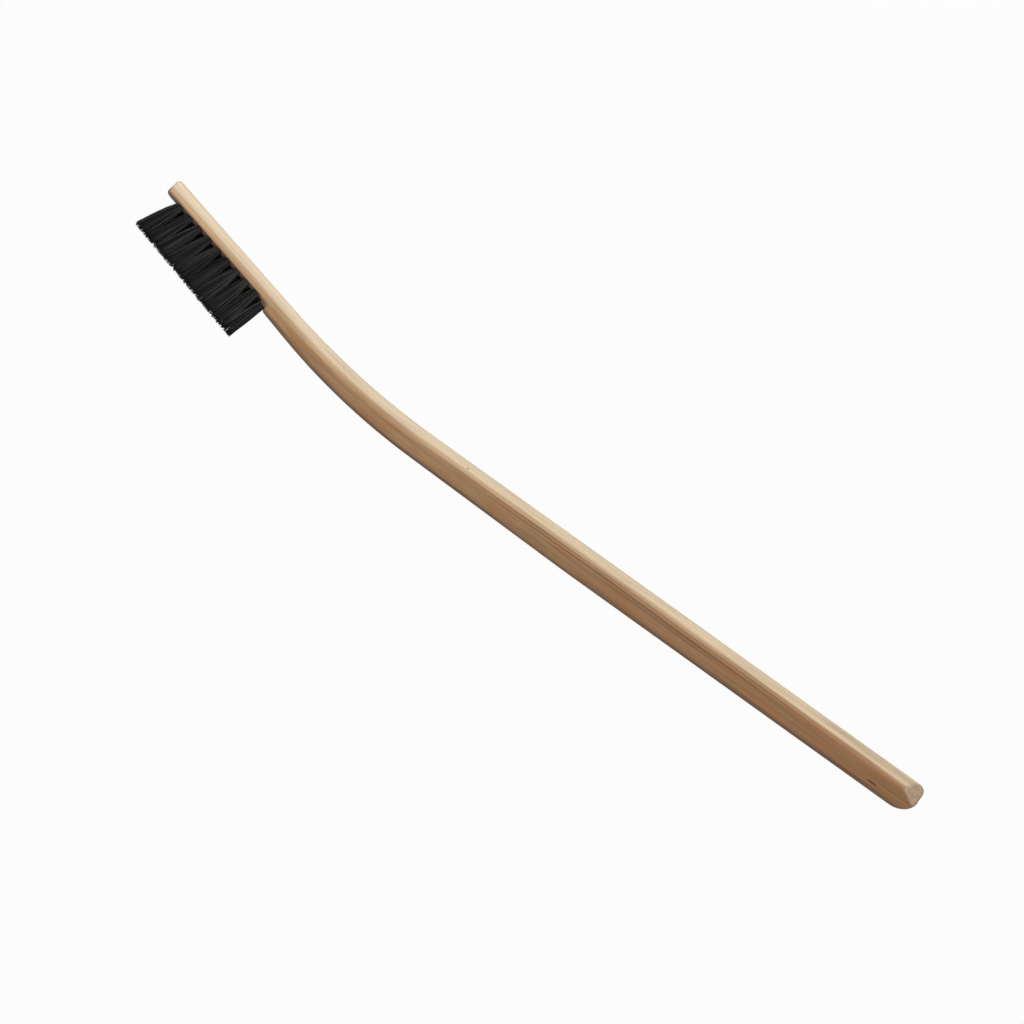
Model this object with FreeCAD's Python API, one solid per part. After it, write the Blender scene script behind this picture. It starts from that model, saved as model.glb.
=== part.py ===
import FreeCAD, Part
import math
import os

from FreeCAD import Placement, Rotation, Vector

# Crevice brush: a slim bent wooden handle whose thinned and bevelled head carries two staggered
# rows of fibre tufts. Each tuft is folded over a flat wire anchor and driven into a blind hole.
# The brush lies on its side: +X runs from the grip towards the tip, +Y the way the bristles
# point, +Z up across the handle. The origin is the middle of the underside of its whole box.
# Lengths are in millimetres and angles in degrees.

# Handle, seen from its side: depths run from the back to the bristle side
handle_width = 8.4
grip_depth = 12.4
waist_depth = 10.1
neck_depth = 7.8
head_depth = 5.4
bend_station = 274.6
bend_angle = 17.5
head_reach = 105.4
taper_station = 165.0

# Rounding of the handle's outline
butt_back_radius = 6.0
butt_front_radius = 6.2
taper_radius = 400.0
bend_back_radius = 243.0
bend_front_radius = 205.0
crest_radius = 1.9
cove_radius = 0.6
tip_back_radius = 2.0
tip_front_radius = 3.6

# Rounding along the edges between the handle's flat sides and its outline
edge_radius = 1.7

# Bevels along both sides of the head, which run out towards the shoulder
bevel_land = 1.5
bevel_setback = 2.35
bevel_runout_angle = 45.0

# Bristle field: two rows of blind holes, drilled with more lean towards the tip; the right row
# stands half a pitch behind the left one
tuft_count = 10
tuft_pitch = 5.55
toe_margin = 7.9
hole_diameter = 3.6
row_spacing = 4.1
back_wall = 1.6
heel_land = 0.1
shoulder_run = 0.7
toe_lean = 7.0
heel_lean = 0.0

# Tufts, trimmed on a slant
toe_length = 22.2
heel_length = 24.7
tuft_clearance = 0.05
tip_gap = 0.2

# Wire anchors
anchor_bite = 0.3
anchor_height = 1.6
anchor_thickness = 0.3
fold_thickness = 1.0

# Length by which every cutting tool runs past the surface it cuts
cut_overrun = 2.0

# Most of a straight run that its two rounded corners may use, and of a corner that an edge may
run_share = 0.98
edge_share = 0.9

# Share of a pitch by which the right row stands behind the left one
stagger_share = 0.5

# Sizes that follow from the ones above
hole_radius = hole_diameter / 2
hole_depth = head_depth - back_wall
plug_radius = hole_radius - tuft_clearance
tip_spread_along = tuft_pitch - tip_gap
tip_spread_across = handle_width - row_spacing - tip_gap
longest_tuft = max(toe_length, heel_length)
anchor_length = hole_diameter + 2 * anchor_bite

# Places along the head, measured from the corner of the bend
first_tuft_station = head_reach - toe_margin
last_tuft_station = first_tuft_station - (tuft_count - 1) * tuft_pitch
shoulder_slope = math.atan2(neck_depth - head_depth, shoulder_run)
cove_reach = cove_radius * math.tan(shoulder_slope / 2)
shoulder_foot = last_tuft_station - hole_radius - heel_land - cove_reach
shoulder_crest = shoulder_foot - shoulder_run

bend = math.radians(bend_angle)
bend_corner = Vector(bend_station, 0, 0)
head_forward = Vector(math.cos(bend), -math.sin(bend), 0)
head_down = Vector(math.sin(bend), math.cos(bend), 0)
upright = Vector(0, 0, 1)


def head_point(station, depth):
    """Place on the head, from the distance past the bend and the depth below the back."""
    return bend_corner + head_forward * station + head_down * depth


def corner_reaches(corners):
    """How far each rounded corner reaches along its runs, less where two would meet."""
    half_angles = []
    reaches = []
    for index, (corner, radius) in enumerate(corners):
        before = corners[index - 1][0] - corner
        after = corners[(index + 1) % len(corners)][0] - corner
        half_angles.append(before.getAngle(after) / 2)
        reaches.append(radius / math.tan(half_angles[index]))
    limits = [1.0] * len(corners)
    for index, (corner, radius) in enumerate(corners):
        run = (corner - corners[index - 1][0]).Length
        limit = run_share * run / (reaches[index] + reaches[index - 1])
        limits[index] = min(limits[index], limit)
        limits[index - 1] = min(limits[index - 1], limit)
    return [(reach * limit, half) for reach, limit, half in zip(reaches, limits, half_angles)]


def rounded_outline(corners):
    """Closed wire of straight runs whose corners are arcs; runs in line need no arc."""
    arcs = []
    for index, (reach, half_angle) in enumerate(corner_reaches(corners)):
        if math.isclose(half_angle, math.pi / 2):
            continue
        corner = corners[index][0]
        before = (corners[index - 1][0] - corner).normalize()
        after = (corners[(index + 1) % len(corners)][0] - corner).normalize()
        inward = (before + after).normalize()
        rise = reach / math.cos(half_angle) - reach * math.tan(half_angle)
        arcs.append((corner + before * reach, corner + inward * rise, corner + after * reach))
    edges = []
    for index, (first, middle, last) in enumerate(arcs):
        next_first = arcs[(index + 1) % len(arcs)][0]
        edges.append(Part.Arc(first, middle, last).toShape())
        edges.append(Part.LineSegment(last, next_first).toShape())
    return Part.Wire(edges)


def handle_blank():
    """Bent handle as thick as its board, with every long edge rounded over."""
    waist_front = bend_corner + Vector(waist_depth * math.tan(bend / 2), waist_depth, 0)
    outline = rounded_outline([
        (Vector(0, 0, 0), butt_back_radius),
        (Vector(0, grip_depth, 0), butt_front_radius),
        (Vector(taper_station, grip_depth, 0), taper_radius),
        (waist_front, bend_front_radius),
        (head_point(shoulder_crest, neck_depth), crest_radius),
        (head_point(shoulder_foot, head_depth), cove_radius),
        (head_point(head_reach, head_depth), tip_front_radius),
        (head_point(head_reach, 0), tip_back_radius),
        (bend_corner, bend_back_radius),
    ])
    side = Part.Face(outline)
    arcs = [edge.Curve for edge in outline.Edges if edge.Curve.TypeId == "Part::GeomCircle"]
    tightest = min(arc.Radius for arc in arcs if side.isInside(arc.Center, 0, True))
    rounding = min(edge_radius, edge_share * tightest, edge_share * handle_width / 2)
    blank = side.extrude(upright * handle_width)
    rims = [edge for edge in blank.Edges if edge.BoundBox.ZLength < handle_width / 2]
    return blank.makeFillet(rounding, rims)


def bevel_waste(side):
    """Wedge cut off one front edge of the head, with a slanted end at the shoulder."""
    face_height = handle_width / 2 * (1 + side)
    fall = Vector(head_depth - bevel_land, -side * bevel_setback, 0)
    overrun = fall * (cut_overrun / fall.Length)
    start = Vector(bevel_land, face_height, 0) - overrun
    end = Vector(head_depth, face_height - side * bevel_setback, 0) + overrun
    section = [start, end, Vector(end.x, start.y, 0), start]
    runout = math.tan(math.radians(bevel_runout_angle))
    heel_end = []
    tip_end = []
    for point in section:
        station = shoulder_foot + (end.x - point.x) * runout
        heel_end.append(head_point(station, point.x) + upright * point.y)
        tip_end.append(head_point(head_reach + cut_overrun, point.x) + upright * point.y)
    return Part.makeLoft([Part.makePolygon(heel_end), Part.makePolygon(tip_end)], True, True)


def tuft_seat(place, side):
    """Placement of the tuft that stands this many pitches from the toe, with +Z out of the wood."""
    along = place / max(tuft_count - 1, 1)
    lean = math.radians(toe_lean + (heel_lean - toe_lean) * along)
    out = head_down * math.cos(lean) + head_forward * math.sin(lean)
    forward = head_forward * math.cos(lean) - head_down * math.sin(lean)
    mouth = head_point(first_tuft_station - place * tuft_pitch, head_depth)
    mouth = mouth + upright * (handle_width / 2 + side * row_spacing / 2)
    return Placement(mouth, Rotation(forward, out.cross(forward), out, "ZXY"))


def tuft_hole():
    """Drill that makes one blind hole, from its flat floor to past its mouth."""
    return Part.makeCylinder(hole_radius, hole_depth + cut_overrun, Vector(0, 0, -hole_depth))


def anchor_plate():
    """Flat wire that holds the fold of a tuft down and bites into the wood at both ends."""
    corner = Vector(-anchor_length / 2, -anchor_thickness / 2, fold_thickness - hole_depth)
    return Part.makeBox(anchor_length, anchor_thickness, anchor_height, corner)


def tuft_bundle():
    """Untrimmed tuft: a round plug that fills its hole, then a flare up to the loose tips."""
    plug = Part.makeCylinder(plug_radius, hole_depth, Vector(0, 0, -hole_depth))
    root = Part.Wire(Part.makeCircle(plug_radius))
    crown_centre = Vector(0, 0, longest_tuft + cut_overrun)
    crown = Part.Ellipse(crown_centre, tip_spread_along / 2, tip_spread_across / 2)
    flare = Part.makeLoft([root, Part.Wire(crown.toShape())], True)
    return plug.fuse(flare).removeSplitter().cut(anchor_plate())


def trim_block():
    """Block over the bristles whose slanted underside is the level that the tips are cut to."""
    slant = (toe_length - heel_length) / max(first_tuft_station - last_tuft_station, tuft_pitch)
    toe_level = head_depth + toe_length + slant * longest_tuft
    heel_level = head_depth + heel_length - slant * longest_tuft
    toe_station = first_tuft_station + longest_tuft
    heel_station = last_tuft_station - longest_tuft
    far_level = head_depth + 2 * longest_tuft
    corners = [head_point(toe_station, toe_level), head_point(heel_station, heel_level)]
    corners += [head_point(heel_station, far_level), head_point(toe_station, far_level), corners[0]]
    underside = Part.Face(Part.makePolygon([corner - upright * row_spacing for corner in corners]))
    return underside.extrude(upright * (handle_width + 2 * row_spacing))


# Pieces, each in its own place on the brush
handle = handle_blank().cut(bevel_waste(1)).cut(bevel_waste(-1))
trimming = trim_block()
pieces = {}
anchors = []
rows = [("left", 1, tuft_count, 0), ("right", -1, tuft_count - 1, stagger_share)]
for row_name, side, row_count, stagger in rows:
    for index in range(row_count):
        seat = tuft_seat(index + stagger, side)
        hole = tuft_hole()
        hole.Placement = seat
        anchor = anchor_plate()
        anchor.Placement = seat.multiply(anchor.Placement)
        tuft = tuft_bundle()
        tuft.Placement = seat
        handle = handle.cut(hole).cut(anchor)
        anchors.append(anchor)
        pieces[f"tuft_{row_name}_{index + 1:02d}"] = tuft.cut(trimming)
pieces["tuft_anchors"] = Part.makeCompound(anchors)
pieces["handle"] = handle

# Move the whole brush so that the origin is the middle of the underside of its box
whole = Part.makeCompound(list(pieces.values())).optimalBoundingBox(False)
to_origin = Vector(-whole.Center.x, -whole.Center.y, -whole.ZMin)

os.makedirs("parts", exist_ok=True)
for name, shape in pieces.items():
    shape.translate(to_origin)
    shape.exportStep(f"parts/{name}.step")

# Places that the mounts use, in the finished frame
grip_middle = Vector(taper_station / 2, grip_depth / 2, 0) + to_origin
print("whole box", whole.XLength, whole.YLength, whole.ZLength)
print("middle of the grip's underside", grip_middle)
print("origin moved by", to_origin)
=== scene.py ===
import math
import random

import bmesh
import bpy
from bpy.props import FloatProperty, FloatVectorProperty, IntProperty, PointerProperty
from bpy.types import Operator, Panel, PropertyGroup
from mathutils import Matrix, Vector


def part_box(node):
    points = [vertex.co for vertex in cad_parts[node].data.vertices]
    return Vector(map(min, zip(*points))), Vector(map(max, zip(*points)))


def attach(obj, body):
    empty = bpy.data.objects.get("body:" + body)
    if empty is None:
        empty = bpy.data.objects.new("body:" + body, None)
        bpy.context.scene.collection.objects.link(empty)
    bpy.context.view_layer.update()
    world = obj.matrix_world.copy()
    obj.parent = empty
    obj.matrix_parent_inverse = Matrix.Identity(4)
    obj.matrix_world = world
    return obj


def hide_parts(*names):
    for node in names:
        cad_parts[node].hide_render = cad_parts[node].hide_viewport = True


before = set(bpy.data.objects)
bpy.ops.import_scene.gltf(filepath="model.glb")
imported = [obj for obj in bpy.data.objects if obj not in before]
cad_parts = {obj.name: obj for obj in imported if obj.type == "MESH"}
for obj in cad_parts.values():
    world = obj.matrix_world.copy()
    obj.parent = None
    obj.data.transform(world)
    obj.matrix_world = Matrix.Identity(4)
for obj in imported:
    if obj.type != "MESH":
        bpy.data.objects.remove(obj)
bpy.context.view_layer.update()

bl_info = {
    "name": "Crevice Brush",
    "version": (1, 0, 0),
    "blender": (4, 5, 0),
    "location": "View3D > Sidebar > Crevice Brush",
    "description": "A slim bent beech brush with two rows of black fibre tufts, and its stage",
    "category": "Add Mesh",
}

MM = 0.001
BODY = "root"
UP = Vector((0, 0, 1))

# A map range that eases in and out
SMOOTH = {"interpolation_type": "SMOOTHSTEP"}

# The way that the facet worn on the butt faces: along the handle, below its back and up
FACET_WAY = Vector((-0.6, -0.8, 0.34)).normalized()

# Mesh work: steps of small roundings, how near points are merged and which angles stay sharp
FACET_SEGMENTS = 3
HOLE_STEPS = 32
SNAP = 1e-6
WELD = 2e-6
WOOD_CREASE = math.radians(35)
FIBRE_CREASE = math.radians(65)

# A bevel's wedge: how far it runs past both its edges, as a share of its width, and how far along,
# as a share of the head's reach
WEDGE_OVERRUN = 0.44
WEDGE_LENGTH = 1.1

# Fibres: sides and spans of one, clumps in a tuft, how far a clump draws its tips together, and
# the bow of a fibre as a share of its wander
FIBRE_SIDES = 6
FIBRE_SPANS = 6
CLUMPS = 7
CLUMP_PULL = 0.12
BOW_SHARE = 0.8
SEED = 20

# Late wood lines, and a painted highlight along the rounding of the back's edge near the butt,
# drawn as the line that lightens: where one lies round the handle, its half width, where it has
# faded out at both ends and how far it darkens the wood, a darkness below nought lightening it;
# then the length over which it fades. In millimetres
GRAIN_LINES_AND_HIGHLIGHT = (
    (1.4, 0.8, -30, 75, 0.14),
    (2.0, 5.0, -60, 60, 0.1),
    (3.7, 0.6, -30, 85, -0.22),
    (6.8, 0.55, 25, 245, 0.6),
    (8.7, 0.45, 45, 225, 0.5),
    (10.5, 0.4, 70, 205, 0.4),
)
LINE_FADE = 40

# Flecks: place along, below and up, half lengths the same way, in millimetres, and darkness; then
# the share of a fleck that is fully dark
FLECKS = (
    ((19, 7.3, 8.4), (3.2, 0.85, 1.2), 0.85),
    ((219, 0, 4.9), (0.9, 0.8, 0.5), 0.6),
)
FLECK_CORE = 0.4

# Fibre finish: shade above which one is greyer, height above which it is black again as painted
# shade at the tips, roughness of the blackest and the greyest, and height over which the shine
# falls from stem to tip
GREY_SHADE = 0.5
TIP_SHADE_HEIGHT = 0.6
FIBRE_ROUGH = (0.38, 0.6)
SHINE_FALL = (0.82, 0.94)
FIBRE_SHINE = (0.22, 0.1)

# Anchor wire: drawing lines along, across and up, in millimetres, and least and most roughness
WIRE_LINES = (3, 0.1, 0.1)
WIRE_ROUGH = (0.22, 0.42)

# The way from the brush to the key light: towards its back, its tip and up
KEY_WAY = (0.9, 0.2, 0.42)
CAMERA_CLIP = 100
WHITE = "ffffff"


def linear(hex_colour):
    """Linear red, green and blue of an sRGB hex colour."""
    channels = [int(hex_colour[start:start + 2], 16) / 255 for start in (0, 2, 4)]
    return tuple(c / 12.92 if c <= 0.04045 else ((c + 0.055) / 1.055) ** 2.4 for c in channels)


def length(name, description, millimetres):
    """A length that a user can set, written here in millimetres."""
    return FloatProperty(name=name, description=description, default=millimetres * MM,
                         precision=5, subtype="DISTANCE", unit="LENGTH")


def lengths(name, description, *millimetres):
    """Three lengths, along the handle, below its back and up, that a user can set."""
    return FloatVectorProperty(name=name, description=description, size=3, precision=5,
                               default=[part * MM for part in millimetres],
                               subtype="XYZ_LENGTH", unit="LENGTH")


def angle(name, description, degrees):
    """An angle that a user can set, written here in degrees."""
    return FloatProperty(name=name, description=description, default=math.radians(degrees),
                         subtype="ANGLE", unit="ROTATION")


def share(name, description, value):
    """A share from nothing to the whole that a user can set."""
    return FloatProperty(name=name, description=description, default=value, min=0, max=1,
                         subtype="FACTOR")


def colour(name, description, hex_colour):
    """A colour that a user can set, written here as sRGB hex."""
    return FloatVectorProperty(name=name, description=description, default=linear(hex_colour),
                               min=0, max=1, size=3, subtype="COLOR")


class HandleSizes(PropertyGroup):
    """Sizes of the bent wooden handle, seen from its flat side"""

    grip_depth: length("Grip depth", "Depth of the grip from its back to its bristle side", 12.4)
    waist_depth: length("Waist depth", "Depth of the handle where it bends", 10.1)
    neck_depth: length("Neck depth", "Depth of the handle just before the head", 7.8)
    head_depth: length("Head depth", "Depth of the thinned head that carries the tufts", 5.4)
    taper_station: length("Taper start", "Distance from the butt to where the grip tapers", 165.0)
    bend_station: length("Bend", "Distance from the butt to the corner of the bend", 274.6)
    bend_angle: angle("Bend angle", "Angle by which the head turns back from the grip", 17.5)
    head_reach: length("Head reach", "Distance from the corner of the bend to the tip", 105.4)
    shoulder_crest: length("Shoulder crest", "Where the neck starts to step down to the head", 45.9)
    shoulder_foot: length("Shoulder foot", "Where that step reaches the head", 46.6)
    butt_back_radius: length("Butt back radius", "Rounding of the butt at the back", 3.4)
    butt_front_radius: length("Butt front radius", "Rounding of the butt at the front", 8.6)
    taper_radius: length("Taper radius", "Rounding where the grip tapers", 400.0)
    bend_back_radius: length("Bend back radius", "Rounding of the bend along the back", 243.0)
    bend_front_radius: length("Bend front radius", "Rounding of the bend along the front", 205.0)
    crest_radius: length("Crest radius", "Rounding of the top of the shoulder", 1.9)
    cove_radius: length("Cove radius", "Rounding of the foot of the shoulder", 0.6)
    tip_front_radius: length("Tip front radius", "Rounding of the tip on the bristle side", 3.4)
    tip_back_radius: length("Tip back radius", "Rounding of the tip at the back", 1.89)
    edge_radius: length("Edge radius", "Rounding between the flat sides and the outline", 1.7)
    bevel_land: length("Bevel land", "Depth of flat side left between the back and the bevel", 1.5)
    bevel_setback: length("Bevel setback", "How far a bevel comes in at the head's front", 2.35)
    bevel_foot: length("Bevel foot", "Where the bevel's slanted end would meet the neck", 45.6)
    bevel_runout: angle("Bevel run-out", "Slant of the bevel's end at the shoulder", 45.0)
    facet_reach: length("Facet reach", "Reach of the butt's facet along the upper back edge", 7.4)
    facet_softness: length("Facet softness", "Rounding along the edges of that facet", 1.0)
    edge_segments: IntProperty(name="Edge segments", description="Steps across a rounded edge",
                               default=6, min=2)
    arc_step: angle("Arc step", "Largest turn of the outline between two of its points", 6.0)
    loop_spacing: length("Loop spacing", "Distance between the loops along the handle", 4.0)


class TuftSizes(PropertyGroup):
    """Sizes of the tufts, their holes and their fibres"""

    count: IntProperty(name="Tufts", default=10, min=1,
                       description="Tufts in the left row; the right row has one less")
    pitch: length("Pitch", "Distance from one tuft of a row to the next", 5.55)
    toe_margin: length("Toe margin", "Distance from the first tuft to the tip", 7.9)
    row_spacing: length("Row spacing", "Distance between the two rows", 4.1)
    stagger: share("Stagger", "Share of a pitch by which the right row stands back", 0.5)
    hole_diameter: length("Hole diameter", "Diameter of the blind holes", 3.6)
    hole_depth: length("Hole depth", "Depth of the blind holes", 3.8)
    rim: length("Hole rim", "Width of the worn rim at the mouth of a hole", 0.12)
    toe_lean: angle("Toe lean", "Lean of the first tuft towards the tip", 7.0)
    heel_lean: angle("Heel lean", "Lean of the last tuft", 0.0)
    toe_length: length("Toe length", "Free length of the first tuft", 22.2)
    heel_length: length("Heel length", "Free length of the last tuft", 24.4)
    tip_spread_along: length("Spread along", "Width of a tuft's tips along the head", 7.4)
    tip_spread_across: length("Spread across", "Width of a tuft's tips across the head", 3.0)
    inner_spread: length("Inner spread", "Further spread of the tips towards the other row", 0.45)
    heel_fan: share("Heel fan", "Share of its spread that the last tuft keeps at the heel", 0.5)
    clearance: length("Clearance", "Room between the fibres and the wall of their hole", 0.05)
    fibre_diameter: length("Fibre diameter", "Thickness of one fibre", 0.28)
    packing: share("Packing", "Share of a hole's area that its fibres fill", 0.9)
    trim_jitter: length("Trim jitter", "Unevenness of the trimmed tips", 0.08)
    wander: length("Wander", "How far a fibre's tip strays from its place", 0.35)


class Finishes(PropertyGroup):
    """Colours of the wood, the fibre and the wire"""

    # The sides' beech colours are darker than the back's partly as painted shade, the back being
    # the lit face
    pale_beech: colour("Pale beech", "Early wood along the back, at the head", "f1dcbe")
    # The butt's colours, along the back and on the sides, are darker as painted shade for light
    # falling off along the handle
    shaded_butt_back_beech: colour("Worn beech", "Early wood along the back, at the butt", "e3caa8")
    warm_beech: colour("Warm beech", "Oiled sides of the head", "c29d73")
    shaded_grip_beech: colour("Deep beech", "Sides of the grip, darkened by hands", "9a6e43")
    ruddy_beech: colour("Ruddy beech", "Patches on the sides that took more oil", "b07641")
    end_grain: colour("End grain", "The facet worn on the butt", "bfa588")
    # The grain line colour is also the colour of the painted shade on the wood
    grain_and_shade_dark: colour("Grain line", "Late wood lines and flecks", "5a3d26")
    black_fibre: colour("Black fibre", "Most fibres", "090807")
    grey_fibre: colour("Grey fibre", "The lightest fibres", "4c4a48")
    steel_wire: colour("Steel wire", "Flat wire of the tuft anchors", "c4c3bf")


class WoodFigure(PropertyGroup):
    """Grain, wear and painted shade of the oiled beech"""

    fibre_size: lengths("Fibre size", "Fibre streaks, wider than real ones", 34.0, 0.75, 0.75)
    band_size: lengths("Band size", "Growth bands", 60.0, 1.5, 1.3)
    patch_size: lengths("Patch size", "Patches that took more oil", 13.0, 3.2, 3.2)
    drift_size: lengths("Drift size", "Wander of the late wood lines", 90.0, 30.0, 30.0)
    drift_reach: length("Drift reach", "How far the late wood lines wander", 2.4)
    figure_low: share("Figure low", "Level where both begin to show", 0.45)
    figure_high: share("Figure high", "Level where both are full", 0.7)
    streak_depth: share("Streak depth", "Darkness of fibre streaks", 0.3)
    band_depth: share("Band depth", "Darkness of growth bands", 0.25)
    back_depth: share("Back depth", "Share of both on the back", 0.7)
    patch_low: share("Patch low", "Level where a patch begins", 0.42)
    patch_high: share("Patch high", "Level where a patch is full", 0.64)
    patch_depth: share("Patch depth", "Strength of a patch", 0.6)
    patch_begin: length("Patch begin", "Way round to where patches begin", 5.0)
    patch_full: length("Patch full", "Way round to where they are full", 8.0)
    pale_drop: length("Pale drop", "How far the pale strip lies below mid width", 0.9)
    pale_end: length("Pale end", "Way round to where the pale back ends", 1.3)
    warm_begin: length("Warm begin", "Way round to where it is fully warm", 5.2)
    crisp_pale_end: length("Crisp pale end", "The same end near the butt", 2.3)
    crisp_warm_begin: length("Crisp warm begin", "The same place near the butt", 4.3)
    crisp_begin: length("Crisp begin", "Place along where it turns crisp", 120.0)
    crisp_full: length("Crisp full", "Place along where it is crisp", 60.0)
    wear_begin: length("Wear begin", "Place along where the pale back widens", 30.0)
    wear_full: length("Wear full", "Place along where it is widest", 12.0)
    wear: length("Wear", "How far it widens at the butt", 0.5)
    facet_blend: length("Facet blend", "Depth over which the facet's tone fades in", 1.1)
    facet_skin: length("Facet skin", "Depth at which the facet's tone is full", 0.05)
    # The darkening at the front edges and of the sides towards the front is painted shade, where
    # they turn away from the light
    front_shade_begin: length("Grime begin", "Gap to the front where grime begins", 4.0)
    front_shade_full: length("Grime full", "Gap to the front where grime is full", 1.1)
    front_shade: share("Grime", "Darkness of the grime", 0.72)
    front_gap: length("Front gap", "Gap to the front where grime thins out", 0.4)
    front_skin: length("Front skin", "Gap to the front where it is thinnest", 0.05)
    front_high: share("Front high", "Most grime where it thins out", 0.7)
    front_low: share("Front low", "Grime left on the front face", 0.1)
    shade_begin: length("Shade begin", "Depth below the back where the sides darken", 3.0)
    shade_full: length("Shade full", "Depth below the back where they are darkest", 12.0)
    shade: share("Shade", "Darkness of the sides at the front", 0.12)
    # The head's darkening round the tufts is mostly painted shade of the tufts, with a little oil
    # stain
    root_shade_begin: length("Stain begin", "Depth below the back where the head darkens", 0.8)
    root_shade_full: length("Stain full", "Depth below the back where it is darkest", 2.6)
    root_shade_fade: length("Stain fade", "Half the length over which that fades", 1.0)
    root_shade_depth: share("Stain", "Darkness round the tufts", 0.62)
    end_reach: length("End reach", "Reach of the butt's end grain", 1.6)
    end_depth: share("End depth", "Darkness of the butt's end grain", 0.3)
    least_rough: share("Least rough", "Roughness between the fibres", 0.42)
    most_rough: share("Most rough", "Roughness of the fibres", 0.6)
    relief: share("Relief", "Strength of the raised grain", 0.25)
    relief_height: length("Relief height", "Height of the raised grain", 0.06)


class StageSizes(PropertyGroup):
    """Camera, lights and floor"""

    view_tilt: angle("View tilt", "Angle from straight above towards the back", 42.0)
    view_roll: angle("View roll", "Turn of the picture about the line of sight", 38.9448)
    handle_slant: angle("Handle slant", "Turn of the view from the grip's direction", 4.4572)
    field_width: length("Field width", "Width of the view at the brush", 400.2)
    camera_distance: length("Camera distance", "Distance from the brush to the camera", 1500.0)
    aim_along: length("Aim along", "Distance along the grip of the place looked at", 191.115)
    aim_back: length("Aim back", "How far that place lies behind the grip's back", 9.19)
    aim_right: length("Aim right", "How far the view is moved to the right", -9.365)
    aim_up: length("Aim up", "How far the view is moved upwards", -6.941)
    sensor: FloatProperty(name="Sensor", description="Width of the sensor, in millimetres",
                          default=36.0, subtype="DISTANCE_CAMERA")
    floor_width: length("Floor width", "Width of the floor", 8000.0)
    floor_drop: length("Floor drop", "Gap between the brush and the floor", 0.05)
    floor_paper: colour("Floor paper", "Paper of the floor, which takes the shadow", "c8c8c6")
    floor_white: share("Floor white", "How far the floor shows as plain white", 0.96)
    sky: share("Sky", "Level of the soft light from all round", 0.46)
    key_distance: length("Key distance", "Distance from the brush to the key light", 1300.0)
    key_width: length("Key width", "Width of the key light", 800.0)
    key_power: FloatProperty(name="Key power", description="Power of the key light, in watts",
                             default=10.5, min=0, unit="POWER")


class BrushSettings(PropertyGroup):
    """Everything that the brush and its stage are made from"""

    handle: PointerProperty(type=HandleSizes)
    tufts: PointerProperty(type=TuftSizes)
    finish: PointerProperty(type=Finishes)
    wood: PointerProperty(type=WoodFigure)
    stage: PointerProperty(type=StageSizes)


class Layout:
    """Places on the brush that follow from its sizes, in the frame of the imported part"""

    def __init__(self, settings):
        sizes = settings.handle
        low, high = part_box("handle")
        self.sizes = sizes
        self.tufts = settings.tufts
        self.width = high.z - low.z
        self.origin = Vector((low.x, high.y - sizes.grip_depth, low.z))
        self.bend_corner = self.origin + Vector((sizes.bend_station, 0, 0))
        self.forward = Vector((math.cos(sizes.bend_angle), -math.sin(sizes.bend_angle), 0))
        self.down = Vector((math.sin(sizes.bend_angle), math.cos(sizes.bend_angle), 0))
        bend_reach = sizes.bend_back_radius * math.tan(sizes.bend_angle / 2)
        self.bend_centre = self.bend_corner - Vector((bend_reach, sizes.bend_back_radius, 0))
        self.reach = self.straighten(self.head_point(sizes.head_reach, 0)).x

    def head_point(self, station, depth):
        """Place on the head, from the distance past the bend and the depth below the back."""
        return self.bend_corner + self.forward * station + self.down * depth

    def straighten(self, place):
        """The place if the handle were straight: along it from the butt, below its back, up."""
        radius = self.sizes.bend_back_radius
        arm = place - self.bend_centre
        turn = min(max(math.atan2(arm.x, arm.y), 0), self.sizes.bend_angle)
        straight = Matrix.Rotation(turn, 3, "Z") @ arm + self.bend_centre - self.origin
        return Vector((straight.x + radius * turn, straight.y, straight.z))

    def bent(self, along, below, up):
        """The place on the bent handle of a place on the straight one."""
        radius = self.sizes.bend_back_radius
        start = self.bend_centre.x - self.origin.x
        turn = min(max((along - start) / radius, 0), self.sizes.bend_angle)
        straight = self.origin + Vector((along - radius * turn, below, up))
        return Matrix.Rotation(-turn, 3, "Z") @ (straight - self.bend_centre) + self.bend_centre

    def front_depth(self, along):
        """Depth of the handle at a place along it, as if it were straight."""
        sizes = self.sizes
        past_bend = self.reach - sizes.head_reach
        places = ((sizes.taper_station, sizes.grip_depth), (past_bend, sizes.waist_depth),
                  (past_bend + sizes.shoulder_crest, sizes.neck_depth),
                  (past_bend + sizes.shoulder_foot, sizes.head_depth),
                  (self.reach, sizes.head_depth))
        for (start, depth), (end, next_depth) in zip(places, places[1:]):
            if along < end:
                return depth + (next_depth - depth) * max(along - start, 0) / (end - start)
        return sizes.head_depth

    def rows(self):
        """Row name, side and places of the tufts of both rows, in pitches from the toe."""
        count = self.tufts.count
        return (("left", 1, range(count)),
                ("right", -1, [index + self.tufts.stagger for index in range(count - 1)]))

    def between(self, toe, heel, place):
        """A value at a tuft's place that runs evenly from the toe's tuft to the heel's."""
        return toe + (heel - toe) * (place / max(self.tufts.count - 1, 1))

    def lean(self, place):
        """Lean of a tuft towards the tip."""
        return self.between(self.tufts.toe_lean, self.tufts.heel_lean, place)

    def seat(self, place, side):
        """Mouth of a tuft's hole, with x towards the tip and z out of the wood."""
        tufts = self.tufts
        lean = self.lean(place)
        out = self.down * math.cos(lean) + self.forward * math.sin(lean)
        forward = self.forward * math.cos(lean) - self.down * math.sin(lean)
        station = self.sizes.head_reach - tufts.toe_margin - place * tufts.pitch
        mouth = self.head_point(station, self.sizes.head_depth)
        mouth = mouth + UP * (self.width / 2 + side * tufts.row_spacing / 2)
        axes = Matrix((forward, out.cross(forward), out)).transposed().to_4x4()
        return Matrix.Translation(mouth) @ axes


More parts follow.
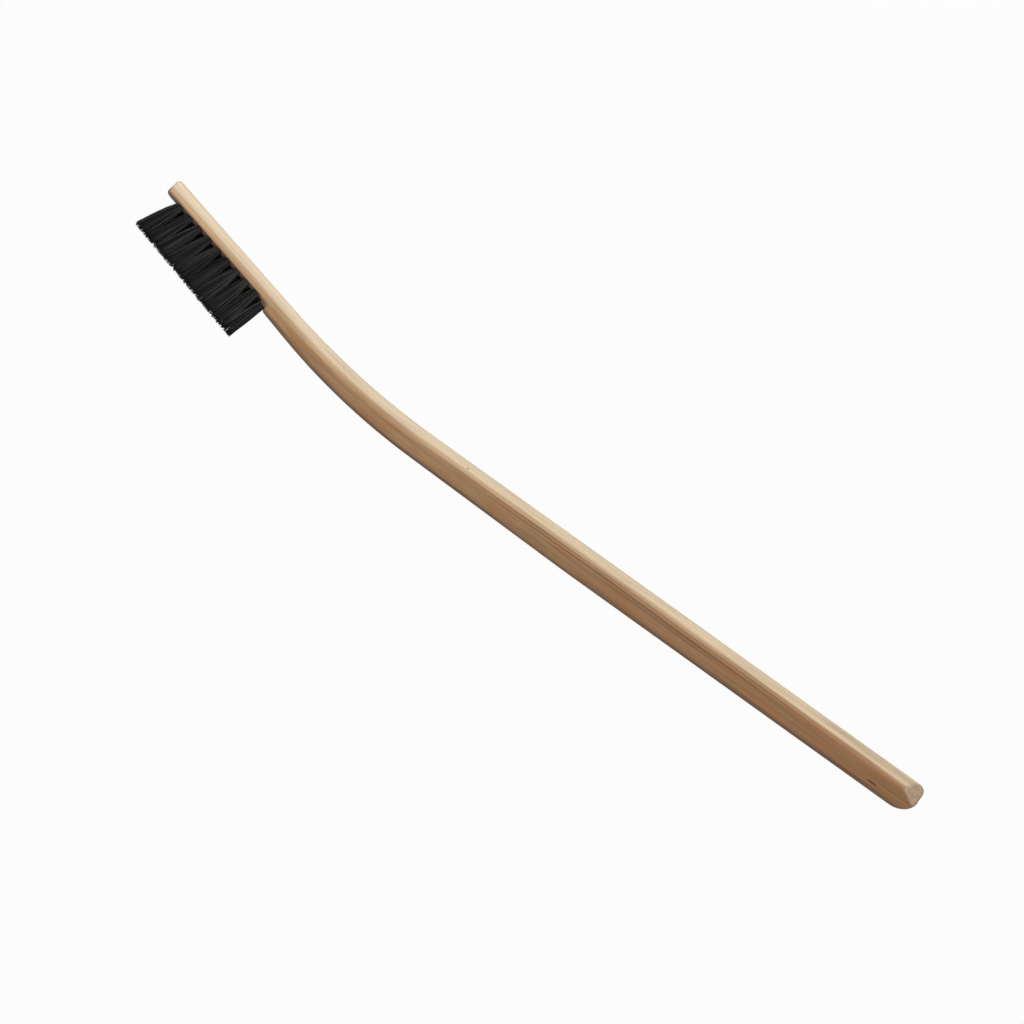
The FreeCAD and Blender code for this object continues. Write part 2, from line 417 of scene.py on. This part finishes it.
def node(tree, kind, inputs=(), **settings):
    """Adds one shader node; an input that is given a socket, or a node for its first one, is
    linked, any other is set. Inputs go by name or number: a map range reads from 1 to 2 and gives
    3 to 4, a mix of colours goes by 0 from 6 to 7."""
    made = tree.nodes.new(kind)
    for name, value in settings.items():
        setattr(made, name, value)
    for name, value in dict(inputs).items():
        if isinstance(value, bpy.types.Node):
            value = value.outputs[0]
        if isinstance(value, bpy.types.NodeSocket):
            tree.links.new(value, made.inputs[name])
        else:
            made.inputs[name].default_value = value
    return made


def new_material(name):
    """An empty material and its node tree."""
    material = bpy.data.materials.new(name)
    material.use_nodes = True
    material.node_tree.nodes.clear()
    return material, material.node_tree


def opaque(rgb):
    """A colour with full alpha, as shader sockets take it."""
    return (*rgb, 1)


def per_length(along, below, up):
    """Scale that makes one unit of a pattern as long as these lengths."""
    return (1 / along, 1 / below, 1 / up)


def finish_piece(name, mesh, material, slot, *nodes):
    """Puts a mesh into the scene as a piece that rides on the brush and stands for CAD nodes."""
    piece = bpy.data.objects.new(name, mesh)
    bpy.context.scene.collection.objects.link(piece)
    mesh.materials.clear()
    mesh.materials.append(material)
    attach(piece, BODY)
    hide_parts(*nodes)
    return piece


def oiled_beech(layout, finish, wood):
    """Sanded and oiled beech: straight grain that follows the bend, pale along the back and warmer
    on the sides, partly as painted shade, darker towards the butt as painted shade, with a few dark
    lines, a painted highlight along one edge and two flecks."""
    material, tree = new_material("oiled_beech")
    place = node(tree, "ShaderNodeAttribute", attribute_name="grain_place").outputs["Vector"]
    axes = node(tree, "ShaderNodeSeparateXYZ", {"Vector": place})
    along, below, up = (axes.outputs[name] for name in "XYZ")
    front = node(tree, "ShaderNodeAttribute", attribute_name="front_gap").outputs["Fac"]

    # Real fibres are too fine to show, so their streaks are drawn as wide as they need to be
    grain = []
    for size, detail in ((wood.fibre_size, 3), (wood.band_size, 2), (wood.patch_size, 3),
                         (wood.drift_size, 1)):
        scaled = node(tree, "ShaderNodeVectorMath", {0: place, 1: per_length(*size)},
                      operation="MULTIPLY")
        noise = node(tree, "ShaderNodeTexNoise", {"Vector": scaled, "Scale": 1, "Detail": detail})
        grain.append(noise.outputs["Fac"])
    fibres, bands, patches, drift = grain

    # Across the rounding from the back to the flat sides the wood turns warmer and darker: partly
    # beech's own tone, partly painted shade, as the back faces the key light and the sides turn
    # away from it
    middle = node(tree, "ShaderNodeMath", {0: up, 1: layout.width / 2 - wood.pale_drop},
                  operation="SUBTRACT")
    outward = node(tree, "ShaderNodeMath", {0: middle}, operation="ABSOLUTE")
    around = node(tree, "ShaderNodeMath", {0: outward, 1: below})
    crisp = node(tree, "ShaderNodeMapRange", {
        "Value": along, 1: wood.crisp_begin, 2: wood.crisp_full}, **SMOOTH)
    begin = node(tree, "ShaderNodeMapRange", {
        "Value": crisp, 3: wood.pale_end, 4: wood.crisp_pale_end})
    full = node(tree, "ShaderNodeMapRange", {
        "Value": crisp, 3: wood.warm_begin, 4: wood.crisp_warm_begin})
    eased = node(tree, "ShaderNodeMapRange", {
        "Value": along, 1: wood.wear_begin, 2: wood.wear_full, 4: -wood.wear}, **SMOOTH)
    edged = node(tree, "ShaderNodeMath", {0: around, 1: eased})
    side = node(tree, "ShaderNodeMapRange", {"Value": edged, 1: begin, 2: full}, **SMOOTH)
    # Painted shade: the back and the sides both darken towards the butt, standing in for light that
    # falls off along the handle
    butt_falloff = node(tree, "ShaderNodeMapRange", {"Value": along, 1: layout.reach, 2: 0})
    warm = node(tree, "ShaderNodeMix", {0: butt_falloff, 6: opaque(finish.warm_beech),
                                        7: opaque(finish.shaded_grip_beech)}, data_type="RGBA")
    ruddy = node(tree, "ShaderNodeMapRange", {
        "Value": patches, 1: wood.patch_low, 2: wood.patch_high, 4: wood.patch_depth}, **SMOOTH)
    flat = node(tree, "ShaderNodeMapRange", {
        "Value": around, 1: wood.patch_begin, 2: wood.patch_full})
    patched = node(tree, "ShaderNodeMath", {0: ruddy, 1: flat}, operation="MULTIPLY")
    mottled = node(tree, "ShaderNodeMix", {0: patched, 6: warm.outputs[2],
                                           7: opaque(finish.ruddy_beech)}, data_type="RGBA")
    pale = node(tree, "ShaderNodeMix", {0: butt_falloff, 6: opaque(finish.pale_beech),
                                        7: opaque(finish.shaded_butt_back_beech)}, data_type="RGBA")
    sided = node(tree, "ShaderNodeMix", {0: side, 6: pale.outputs[2], 7: mottled.outputs[2]},
                 data_type="RGBA")

    # The facet worn on the butt cuts across the fibres, so it looks greyer
    facet_corner = (layout.sizes.facet_reach, 0, layout.width)
    from_facet = node(tree, "ShaderNodeVectorMath", {0: place, 1: facet_corner},
                      operation="SUBTRACT")
    outside = node(tree, "ShaderNodeVectorMath", {0: from_facet, 1: FACET_WAY},
                   operation="DOT_PRODUCT").outputs["Value"]
    worn = node(tree, "ShaderNodeMapRange", {
        "Value": outside, 1: -wood.facet_blend, 2: -wood.facet_skin})
    tone = node(tree, "ShaderNodeMix", {0: worn, 6: sided.outputs[2],
                                        7: opaque(finish.end_grain)}, data_type="RGBA")

    # Streaks and bands darken that ground, less on the back than on the sides
    streak = node(tree, "ShaderNodeMapRange", {
        "Value": fibres, 1: wood.figure_low, 2: wood.figure_high, 4: wood.streak_depth})
    cloud = node(tree, "ShaderNodeMapRange", {
        "Value": bands, 1: wood.figure_low, 2: wood.figure_high, 4: wood.band_depth})
    both = node(tree, "ShaderNodeMath", {0: streak, 1: cloud})
    depth = node(tree, "ShaderNodeMapRange", {"Value": side, 3: wood.back_depth, 4: 1})
    total = node(tree, "ShaderNodeMath", {0: both, 1: depth}, operation="MULTIPLY")

    # Late wood lines run along the grip; near the butt the back darkens round one lighter line,
    # which is a painted highlight on the rounding of the edge
    wander = node(tree, "ShaderNodeMath", {0: drift, 1: wood.drift_reach, 2: around},
                  operation="MULTIPLY_ADD")
    for centre, half_width, first, final, strength in GRAIN_LINES_AND_HIGHLIGHT:
        away = node(tree, "ShaderNodeMath", {0: wander, 1: centre * MM}, operation="SUBTRACT")
        apart = node(tree, "ShaderNodeMath", {0: away}, operation="ABSOLUTE")
        line = node(tree, "ShaderNodeMapRange", {
            "Value": apart, 1: half_width * MM, 2: 0, 4: strength}, **SMOOTH)
        for clear, whole in ((first, first + LINE_FADE), (final, final - LINE_FADE)):
            limit = node(tree, "ShaderNodeMapRange", {
                "Value": along, 1: clear * MM, 2: whole * MM}, **SMOOTH)
            line = node(tree, "ShaderNodeMath", {0: line, 1: limit}, operation="MULTIPLY")
        total = node(tree, "ShaderNodeMath", {0: total, 1: line})

    # A dark fleck on the side near the butt and a small nick in the back, along the grain
    for spot, reach, strength in FLECKS:
        centred = node(tree, "ShaderNodeVectorMath", {0: place, 1: [part * MM for part in spot]},
                       operation="SUBTRACT")
        scale = per_length(*(part * MM for part in reach))
        oval = node(tree, "ShaderNodeVectorMath", {0: centred, 1: scale}, operation="MULTIPLY")
        away = node(tree, "ShaderNodeVectorMath", {0: oval}, operation="LENGTH").outputs["Value"]
        fleck = node(tree, "ShaderNodeMapRange", {
            "Value": away, 1: 1, 2: FLECK_CORE, 4: strength}, **SMOOTH)
        total = node(tree, "ShaderNodeMath", {0: total, 1: fleck})

    # Painted shade in the front edges, where the rounding turns away from the light, little of it
    # on the front face, and painted shade on the sides that darkens towards the front
    front_edge_shade = node(tree, "ShaderNodeMapRange", {
        "Value": front, 1: wood.front_shade_begin, 2: wood.front_shade_full, 4: wood.front_shade}, **SMOOTH)
    plain = node(tree, "ShaderNodeMapRange", {
        "Value": front, 1: wood.front_skin, 2: wood.front_gap, 3: wood.front_low,
        4: wood.front_high})
    front_shade = node(tree, "ShaderNodeMath", {0: front_edge_shade, 1: plain}, operation="MINIMUM")
    # Painted shade: the sides darken towards the front, away from the light
    side_shade = node(tree, "ShaderNodeMapRange", {
        "Value": below, 1: wood.shade_begin, 2: wood.shade_full, 4: wood.shade})

    # The head's wood is darkened round the roots of the tufts, mostly as painted shade of the
    # tufts, over a little oil stain; the butt's end grain is darker too
    head_start = layout.reach - layout.sizes.head_reach + layout.sizes.shoulder_foot
    on_head = node(tree, "ShaderNodeMapRange", {
        "Value": along, 1: head_start - wood.root_shade_fade, 2: head_start + wood.root_shade_fade})
    inner = node(tree, "ShaderNodeMapRange", {
        "Value": below, 1: wood.root_shade_begin, 2: wood.root_shade_full, 4: wood.root_shade_depth}, **SMOOTH)
    root_shade = node(tree, "ShaderNodeMath", {0: on_head, 1: inner}, operation="MULTIPLY")
    butt = node(tree, "ShaderNodeMapRange", {
        "Value": along, 1: wood.end_reach, 2: 0, 4: wood.end_depth}, **SMOOTH)
    for more in (front_shade, side_shade, root_shade, butt):
        total = node(tree, "ShaderNodeMath", {0: total, 1: more})
    # The dark colour takes the grain lines, the flecks and the end grain, and also all the painted
    # shade; the painted highlight lessens it
    ground = node(tree, "ShaderNodeMix", {0: total, 6: tone.outputs[2],
                                          7: opaque(finish.grain_and_shade_dark)}, data_type="RGBA")

    rough = node(tree, "ShaderNodeMapRange", {
        "Value": fibres, 3: wood.least_rough, 4: wood.most_rough})
    bump = node(tree, "ShaderNodeBump", {
        "Height": fibres, "Strength": wood.relief, "Distance": wood.relief_height})
    shader = node(tree, "ShaderNodeBsdfPrincipled", {
        "Base Color": ground.outputs[2], "Roughness": rough, "IOR": 1.5, "Normal": bump})
    node(tree, "ShaderNodeOutputMaterial", {"Surface": shader})
    return material


def black_bristle(finish):
    """Drawn black bristle fibre: near black, slightly glossy, each fibre a little different."""
    material, tree = new_material("black_bristle_fibre")
    shade = node(tree, "ShaderNodeAttribute", attribute_name="fibre_shade").outputs["Fac"]
    along = node(tree, "ShaderNodeAttribute", attribute_name="fibre_along").outputs["Fac"]
    light = node(tree, "ShaderNodeMapRange", {"Value": shade, 1: GREY_SHADE, 2: 1})
    # Painted shade: the fibres turn black again towards the trimmed tips
    tip_shade = node(tree, "ShaderNodeMapRange", {"Value": along, 1: 1, 2: TIP_SHADE_HEIGHT})
    mixed = node(tree, "ShaderNodeMath", {0: light, 1: tip_shade}, operation="MULTIPLY")
    tint = node(tree, "ShaderNodeMix", {0: mixed, 6: opaque(finish.black_fibre),
                                        7: opaque(finish.grey_fibre)}, data_type="RGBA")
    rough = node(tree, "ShaderNodeMapRange", {
        "Value": shade, 3: FIBRE_ROUGH[0], 4: FIBRE_ROUGH[1]})
    shine = node(tree, "ShaderNodeMapRange", {
        "Value": along, 1: SHINE_FALL[0], 2: SHINE_FALL[1], 3: FIBRE_SHINE[0], 4: FIBRE_SHINE[1]})
    shader = node(tree, "ShaderNodeBsdfPrincipled", {
        "Base Color": tint.outputs[2], "Roughness": rough, "IOR": 1.5, "Specular IOR Level": shine})
    node(tree, "ShaderNodeOutputMaterial", {"Surface": shader})
    return material


def drawn_steel(finish):
    """Bright drawn and flattened steel wire: fine lines along the wire break its shine."""
    material, tree = new_material("drawn_steel_wire")
    place = node(tree, "ShaderNodeTexCoord").outputs["Object"]
    scale = per_length(*(part * MM for part in WIRE_LINES))
    drawn = node(tree, "ShaderNodeVectorMath", {0: place, 1: scale}, operation="MULTIPLY")
    lines = node(tree, "ShaderNodeTexNoise", {"Vector": drawn, "Scale": 1, "Detail": 2})
    rough = node(tree, "ShaderNodeMapRange", {
        "Value": lines.outputs["Fac"], 3: WIRE_ROUGH[0], 4: WIRE_ROUGH[1]})
    shader = node(tree, "ShaderNodeBsdfPrincipled", {
        "Base Color": opaque(finish.steel_wire), "Metallic": 1, "Roughness": rough})
    node(tree, "ShaderNodeOutputMaterial", {"Surface": shader})
    return material


def shown_rays(tree):
    """1 for rays that show something to the camera, straight, by reflection or through it."""
    rays = node(tree, "ShaderNodeLightPath").outputs
    seen = node(tree, "ShaderNodeMath", {0: rays["Is Camera Ray"], 1: rays["Is Glossy Ray"]},
                operation="MAXIMUM")
    return node(tree, "ShaderNodeMath", {0: seen, 1: rays["Is Transmission Ray"]},
                operation="MAXIMUM")


def white_floor(stage):
    """Matt white paper floor: it takes the shadow, and shows as plain white where nothing falls."""
    material, tree = new_material("matt_white_floor")
    white = node(tree, "ShaderNodeMath", {0: shown_rays(tree), 1: stage.floor_white},
                 operation="MULTIPLY")
    paper = node(tree, "ShaderNodeBsdfDiffuse", {"Color": opaque(stage.floor_paper)})
    glow = node(tree, "ShaderNodeEmission", {"Color": opaque(linear(WHITE)), "Strength": 1})
    mixed = node(tree, "ShaderNodeMixShader", {0: white, 1: paper, 2: glow})
    node(tree, "ShaderNodeOutputMaterial", {"Surface": mixed})
    return material


def rounded_outline(bm, corners, arc_step, longest):
    """Closed loop of straight runs whose corners are spun round as arcs."""
    first = last = None
    for index, (corner, radius) in enumerate(corners):
        before = (corner - corners[index - 1][0]).normalized()
        after = (corners[(index + 1) % len(corners)][0] - corner).normalized()
        turn = math.atan2(before.cross(after).z, before.dot(after))
        start = corner - before * radius * math.tan(abs(turn) / 2)
        centre = start + UP.cross(before) * math.copysign(radius, turn)
        steps = math.ceil(max(abs(turn) / arc_step, abs(turn) * radius / longest))
        vertex = bm.verts.new(start)
        spun = bmesh.ops.spin(bm, geom=[vertex], cent=centre, axis=UP, angle=turn, steps=steps)
        if last is not None:
            bm.edges.new((last, vertex))
        first = first or vertex
        last = spun["geom_last"][0]
    bm.edges.new((last, first))


def handle_body(layout):
    """Bent handle: its rounded outline, drawn up to its thickness, with every long edge eased."""
    sizes = layout.sizes
    bm = bmesh.new()
    waist = Vector((sizes.waist_depth * math.tan(sizes.bend_angle / 2), sizes.waist_depth, 0))
    rounded_outline(bm, [
        (layout.origin, sizes.butt_back_radius),
        (layout.bent(0, sizes.grip_depth, 0), sizes.butt_front_radius),
        (layout.bent(sizes.taper_station, sizes.grip_depth, 0), sizes.taper_radius),
        (layout.bend_corner + waist, sizes.bend_front_radius),
        (layout.head_point(sizes.shoulder_crest, sizes.neck_depth), sizes.crest_radius),
        (layout.head_point(sizes.shoulder_foot, sizes.head_depth), sizes.cove_radius),
        (layout.head_point(sizes.head_reach, sizes.head_depth), sizes.tip_front_radius),
        (layout.head_point(sizes.head_reach, 0), sizes.tip_back_radius),
        (layout.bend_corner, sizes.bend_back_radius),
    ], sizes.arc_step, sizes.loop_spacing)
    bmesh.ops.contextual_create(bm, geom=bm.edges[:])
    raised = bmesh.ops.extrude_face_region(bm, geom=bm.faces[:])["geom"]
    lifted = [part for part in raised if isinstance(part, bmesh.types.BMVert)]
    bmesh.ops.translate(bm, verts=lifted, vec=UP * layout.width)
    rims = [edge for edge in bm.edges
            if abs(edge.verts[0].co.z - edge.verts[1].co.z) < layout.width / 2]
    bmesh.ops.bevel(bm, geom=rims, offset=sizes.edge_radius, segments=sizes.edge_segments,
                    profile=0.5, affect="EDGES", material=-1, clamp_overlap=False)
    loops = int(layout.reach / sizes.loop_spacing)
    for step in range(1, loops):
        along = layout.reach * step / loops
        place = layout.bent(along, 0, 0)
        ahead = layout.bent(along, -sizes.loop_spacing, 0) - place
        bmesh.ops.bisect_plane(bm, geom=bm.verts[:] + bm.edges[:] + bm.faces[:], dist=SNAP,
                               plane_co=place, plane_no=ahead.cross(UP))
    facet = bmesh.ops.bisect_plane(bm, geom=bm.verts[:] + bm.edges[:] + bm.faces[:], dist=SNAP,
                                   plane_co=layout.bent(sizes.facet_reach, 0, layout.width),
                                   plane_no=FACET_WAY, clear_outer=True)
    rim = [part for part in facet["geom_cut"] if isinstance(part, bmesh.types.BMEdge)]
    bmesh.ops.contextual_create(bm, geom=rim)
    bmesh.ops.bevel(bm, geom=rim, offset=sizes.facet_softness, segments=FACET_SEGMENTS,
                    profile=0.5, affect="EDGES", material=-1, clamp_overlap=True)
    bmesh.ops.recalc_face_normals(bm, faces=bm.faces[:])
    return bm


def bevel_wedges(layout):
    """Wedges that bevel both front edges of the head, with slanted ends at the shoulder."""
    sizes = layout.sizes
    bm = bmesh.new()
    for side in (1, -1):
        fall = Vector((sizes.head_depth - sizes.bevel_land, -side * sizes.bevel_setback))
        edge = Vector((sizes.bevel_land, layout.width / 2 * (1 + side)))
        start, end = edge - fall * WEDGE_OVERRUN, edge + fall * (1 + WEDGE_OVERRUN)
        corners = []
        for below, up in (start, end, (end.x, start.y)):
            station = sizes.bevel_foot + (end.x - below) * math.tan(sizes.bevel_runout)
            corners.append(bm.verts.new(layout.head_point(station, below) + UP * up))
        face = bm.faces.new(corners)
        drawn = bmesh.ops.extrude_face_region(bm, geom=[face])["geom"]
        for vertex in (part for part in drawn if isinstance(part, bmesh.types.BMVert)):
            station = (vertex.co - layout.bend_corner).dot(layout.forward)
            vertex.co += layout.forward * (sizes.head_reach * WEDGE_LENGTH - station)
    bmesh.ops.recalc_face_normals(bm, faces=bm.faces[:])
    return bm


def hole_drills(layout):
    """Drills of all tuft holes: straight walls, a flat floor, a mouth that opens at the rim and a
    shank that clears the shoulder beside the last hole."""
    tufts = layout.tufts
    radius = tufts.hole_diameter / 2
    mouth = radius + tufts.rim * 2
    profile = ((0, -tufts.hole_depth), (radius, -tufts.hole_depth), (radius, -tufts.rim),
               (mouth, tufts.rim), (mouth, tufts.hole_depth), (0, tufts.hole_depth))
    bm = bmesh.new()
    for _, side, places in layout.rows():
        for place in places:
            seat = layout.seat(place, side)
            ring = [bm.verts.new(seat @ Vector((x, 0, z))) for x, z in profile]
            edges = [bm.edges.new(pair) for pair in zip(ring, ring[1:])]
            bmesh.ops.spin(bm, geom=ring + edges, cent=seat.translation, axis=seat.col[2].xyz,
                           angle=math.tau, steps=HOLE_STEPS, use_merge=True)
    bmesh.ops.remove_doubles(bm, verts=bm.verts[:], dist=WELD)
    bmesh.ops.recalc_face_normals(bm, faces=bm.faces[:])
    return bm


def mesh_of(bm, name):
    """Turns a finished bmesh into a mesh."""
    mesh = bpy.data.meshes.new(name)
    bm.to_mesh(mesh)
    bm.free()
    return mesh


def cut_away(mesh, tool_mesh, name):
    """The mesh with the shape of the tools cut out of it."""
    body = bpy.data.objects.new(name, mesh)
    tool = bpy.data.objects.new(name + "_tool", tool_mesh)
    for item in (body, tool):
        bpy.context.scene.collection.objects.link(item)
    cut = body.modifiers.new("cut", "BOOLEAN")
    cut.operation = "DIFFERENCE"
    cut.solver = "MANIFOLD"
    cut.object = tool
    graph = bpy.context.evaluated_depsgraph_get()
    made = bpy.data.meshes.new_from_object(body.evaluated_get(graph))
    for item in (body, tool):
        bpy.data.objects.remove(item)
    return made


class BRUSH_OT_handle(Operator):
    """Build the bent beech handle with its tuft holes"""

    bl_idname = "crevice_brush.handle"
    bl_label = "Beech Handle"

    def execute(self, context):
        settings = context.scene.crevice_brush
        layout = Layout(settings)
        blank = mesh_of(handle_body(layout), "handle_blank")
        blank = cut_away(blank, mesh_of(bevel_wedges(layout), "bevel_wedges"), "bevelled_handle")
        mesh = cut_away(blank, mesh_of(hole_drills(layout), "hole_drills"), "drilled_handle")
        mesh.name = "beech_handle"
        mesh.attributes.new("grain_place", "FLOAT_VECTOR", "POINT")
        mesh.attributes.new("front_gap", "FLOAT", "POINT")
        grain, gap = mesh.attributes["grain_place"], mesh.attributes["front_gap"]
        for vertex, place, distance in zip(mesh.vertices, grain.data, gap.data):
            place.vector = layout.straighten(vertex.co)
            distance.value = layout.front_depth(place.vector.x) - place.vector.y
        mesh.shade_smooth()
        mesh.set_sharp_from_angle(angle=WOOD_CREASE)
        material = oiled_beech(layout, settings.finish, settings.wood)
        piece = finish_piece("beech_handle", mesh, material, "oiled_beech", "handle")
        even = piece.modifiers.new("even_flats", "WEIGHTED_NORMAL")
        even.keep_sharp = True
        return {"FINISHED"}


def fibre_blank(bm, sides, spans):
    """A straight fibre of unit length and thickness: a round end drawn out span by span."""
    made = bmesh.ops.create_circle(bm, cap_ends=True, radius=0.5, segments=sides)
    end = made["verts"][0].link_faces[0]
    for _ in range(spans):
        drawn = bmesh.ops.extrude_face_region(bm, geom=[end])["geom"]
        end = next(part for part in drawn if isinstance(part, bmesh.types.BMFace))
        bmesh.ops.translate(bm, verts=end.verts[:], vec=UP / spans)


def tuft_of_fibres(layout, place, side, rng):
    """One tuft: fibres packed round in the hole, fanning out to squared and trimmed tips."""
    tufts = layout.tufts
    seat, lean = layout.seat(place, side), layout.lean(place)
    free_length = layout.between(tufts.toe_length, tufts.heel_length, place)
    slant = (tufts.heel_length - tufts.toe_length) / (max(tufts.count - 1, 1) * tufts.pitch)
    last = place == tufts.count - 1
    room = tufts.hole_diameter / 2 - tufts.clearance - tufts.fibre_diameter / 2
    count = int(tufts.packing * (tufts.hole_diameter / tufts.fibre_diameter) ** 2)
    spread = Vector((tufts.tip_spread_along, tufts.tip_spread_across))
    fan = spread / (tufts.hole_diameter - 2 * tufts.clearance)
    inner_fan = 1 + tufts.inner_spread / (tufts.tip_spread_across / 2)
    golden = math.pi * (3 - math.sqrt(5))
    bm = bmesh.new()
    shade = bm.verts.layers.float.new("fibre_shade")
    along = bm.verts.layers.float.new("fibre_along")
    fibre_blank(bm, FIBRE_SIDES, FIBRE_SPANS)
    blank = bm.verts[:] + bm.edges[:] + bm.faces[:]
    blank_verts = bm.verts[:]
    clumps = [Vector((rng.uniform(-1, 1), rng.uniform(-1, 1))) * room for _ in range(CLUMPS)]
    for number in range(count):
        far = room * math.sqrt((number + 0.5) / count)
        root = Vector((far * math.cos(number * golden), far * math.sin(number * golden)))
        nearest = min(clumps, key=lambda clump: (clump - root).length)
        stray = Vector((rng.uniform(-1, 1), rng.uniform(-1, 1))) * tufts.wander
        squared = root * (far / max(abs(root.x), abs(root.y)))
        tip = Vector((squared.x * fan.x, squared.y * fan.y))
        tip = tip + (nearest - root) * CLUMP_PULL + stray
        if last and tip.x < 0:
            tip.x *= tufts.heel_fan
        if tip.y * side > 0:
            tip.y *= inner_fan
        reach = free_length - tip.x * slant + rng.gauss(0, tufts.trim_jitter)
        tip_height = (reach + tip.x * math.sin(lean)) / math.cos(lean)
        bow = Vector((rng.uniform(-1, 1), rng.uniform(-1, 1))) * tufts.wander * BOW_SHARE
        tone = rng.random()
        copied = bmesh.ops.duplicate(bm, geom=blank)["vert_map"]
        for vertex in blank_verts:
            height = -tufts.hole_depth + (tufts.hole_depth + tip_height) * vertex.co.z
            rise = max(height, 0) / tip_height
            centre = root.lerp(tip, math.sqrt(rise)) + bow * math.sin(math.pi * rise)
            fresh = copied[vertex]
            fresh.co = seat @ Vector((centre.x + vertex.co.x * tufts.fibre_diameter,
                                      centre.y + vertex.co.y * tufts.fibre_diameter, height))
            fresh[shade] = tone
            fresh[along] = rise
    bmesh.ops.delete(bm, geom=blank_verts, context="VERTS")
    bmesh.ops.recalc_face_normals(bm, faces=bm.faces[:])
    return bm


class BRUSH_OT_tufts(Operator):
    """Build the tufts of black fibre"""

    bl_idname = "crevice_brush.tufts"
    bl_label = "Fibre Tufts"

    def execute(self, context):
        settings = context.scene.crevice_brush
        layout = Layout(settings)
        material = black_bristle(settings.finish)
        rng = random.Random(SEED)
        for row, side, places in layout.rows():
            for index, place in enumerate(places):
                name = f"{row}_{index + 1:02d}"
                mesh = mesh_of(tuft_of_fibres(layout, place, side, rng), f"fibre_tuft_{name}")
                mesh.shade_smooth()
                mesh.set_sharp_from_angle(angle=FIBRE_CREASE)
                finish_piece(f"fibre_tuft_{name}", mesh, material, "black_fibre", f"tuft_{name}")
        return {"FINISHED"}


class BRUSH_OT_anchors(Operator):
    """Give the wire anchors in the tuft holes their drawn steel finish"""

    bl_idname = "crevice_brush.anchors"
    bl_label = "Wire Anchors"

    def execute(self, context):
        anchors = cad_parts["tuft_anchors"]
        anchors.data.materials.clear()
        anchors.data.materials.append(drawn_steel(context.scene.crevice_brush.finish))
        return {"FINISHED"}


def soft_light(name, place, aim, width, watts):
    """A large square lamp at a place, turned to shine at another."""
    lamp = bpy.data.lights.new(name, "AREA")
    lamp.shape = "SQUARE"
    lamp.size = width
    lamp.energy = watts
    holder = bpy.data.objects.new(name, lamp)
    holder.location = place
    holder.rotation_euler = (place - aim).to_track_quat("Z", "Y").to_euler()
    bpy.context.scene.collection.objects.link(holder)


class BRUSH_OT_stage(Operator):
    """Set the pale floor, the soft light and the camera"""

    bl_idname = "crevice_brush.stage"
    bl_label = "Stage"

    def execute(self, context):
        scene = context.scene
        settings = scene.crevice_brush
        stage = settings.stage
        layout = Layout(settings)
        scene.view_settings.view_transform = "Standard"

        bm = bmesh.new()
        bmesh.ops.create_grid(bm, x_segments=1, y_segments=1, size=stage.floor_width / 2)
        bmesh.ops.translate(bm, verts=bm.verts[:], vec=UP * -stage.floor_drop)
        floor = bpy.data.objects.new("floor", mesh_of(bm, "floor"))
        floor.data.materials.append(white_floor(stage))
        scene.collection.objects.link(floor)

        world = bpy.data.worlds.new("studio")
        world.use_nodes = True
        tree = world.node_tree
        tree.nodes.clear()
        level = node(tree, "ShaderNodeMapRange", {"Value": shown_rays(tree), 3: stage.sky, 4: 1})
        glow = node(tree, "ShaderNodeBackground", {"Color": opaque(linear(WHITE)),
                                                   "Strength": level})
        output = node(tree, "ShaderNodeOutputWorld", {"Surface": glow})
        output.is_active_output = True
        scene.world = world

        middle = layout.origin + Vector((stage.aim_along, -stage.aim_back, layout.width / 2))
        back = Vector((-math.sin(stage.handle_slant), -math.cos(stage.handle_slant), 0))
        along = Vector((math.cos(stage.handle_slant), -math.sin(stage.handle_slant), 0))
        sight = UP * math.cos(stage.view_tilt) + back * math.sin(stage.view_tilt)
        lower = back * math.cos(stage.view_tilt) - UP * math.sin(stage.view_tilt)
        right = lower * math.sin(stage.view_roll) - along * math.cos(stage.view_roll)
        up = lower * math.cos(stage.view_roll) + along * math.sin(stage.view_roll)
        camera = bpy.data.objects.new("camera", bpy.data.cameras.new("camera"))
        camera.data.sensor_width = stage.sensor
        camera.data.lens = stage.sensor * stage.camera_distance / stage.field_width
        camera.data.clip_end = CAMERA_CLIP
        camera.location = (middle + sight * stage.camera_distance + right * stage.aim_right
                           + up * stage.aim_up)
        camera.rotation_euler = Matrix((right, up, sight)).transposed().to_euler()
        scene.collection.objects.link(camera)
        scene.camera = camera

        to_back, to_tip, to_top = KEY_WAY
        way = (back * to_back + along * to_tip + UP * to_top).normalized()
        soft_light("key_light", middle + way * stage.key_distance, middle, stage.key_width,
                   stage.key_power)
        return {"FINISHED"}


class BRUSH_PT_sidebar(Panel):
    """Sizes and finishes of the brush, with a button for each of its pieces"""

    bl_label = "Crevice Brush"
    bl_space_type = "VIEW_3D"
    bl_region_type = "UI"
    bl_category = "Crevice Brush"

    def draw(self, context):
        settings = context.scene.crevice_brush
        for operator in OPERATORS:
            self.layout.operator(operator.bl_idname)
        for title in BrushSettings.__annotations__:
            box = self.layout.box()
            box.label(text=title.capitalize())
            group = getattr(settings, title)
            for name in group.__annotations__:
                box.prop(group, name)


OPERATORS = (BRUSH_OT_handle, BRUSH_OT_tufts, BRUSH_OT_anchors, BRUSH_OT_stage)
CLASSES = (HandleSizes, TuftSizes, Finishes, WoodFigure, StageSizes, BrushSettings, *OPERATORS,
           BRUSH_PT_sidebar)


def register():
    for item in CLASSES:
        bpy.utils.register_class(item)
    bpy.types.Scene.crevice_brush = PointerProperty(type=BrushSettings)


def unregister():
    del bpy.types.Scene.crevice_brush
    for item in reversed(CLASSES):
        bpy.utils.unregister_class(item)


def main():
    """Builds the brush and its stage."""
    register()
    bpy.ops.crevice_brush.handle()
    bpy.ops.crevice_brush.tufts()
    bpy.ops.crevice_brush.anchors()
    bpy.ops.crevice_brush.stage()


if __name__ == "__main__":
    main()
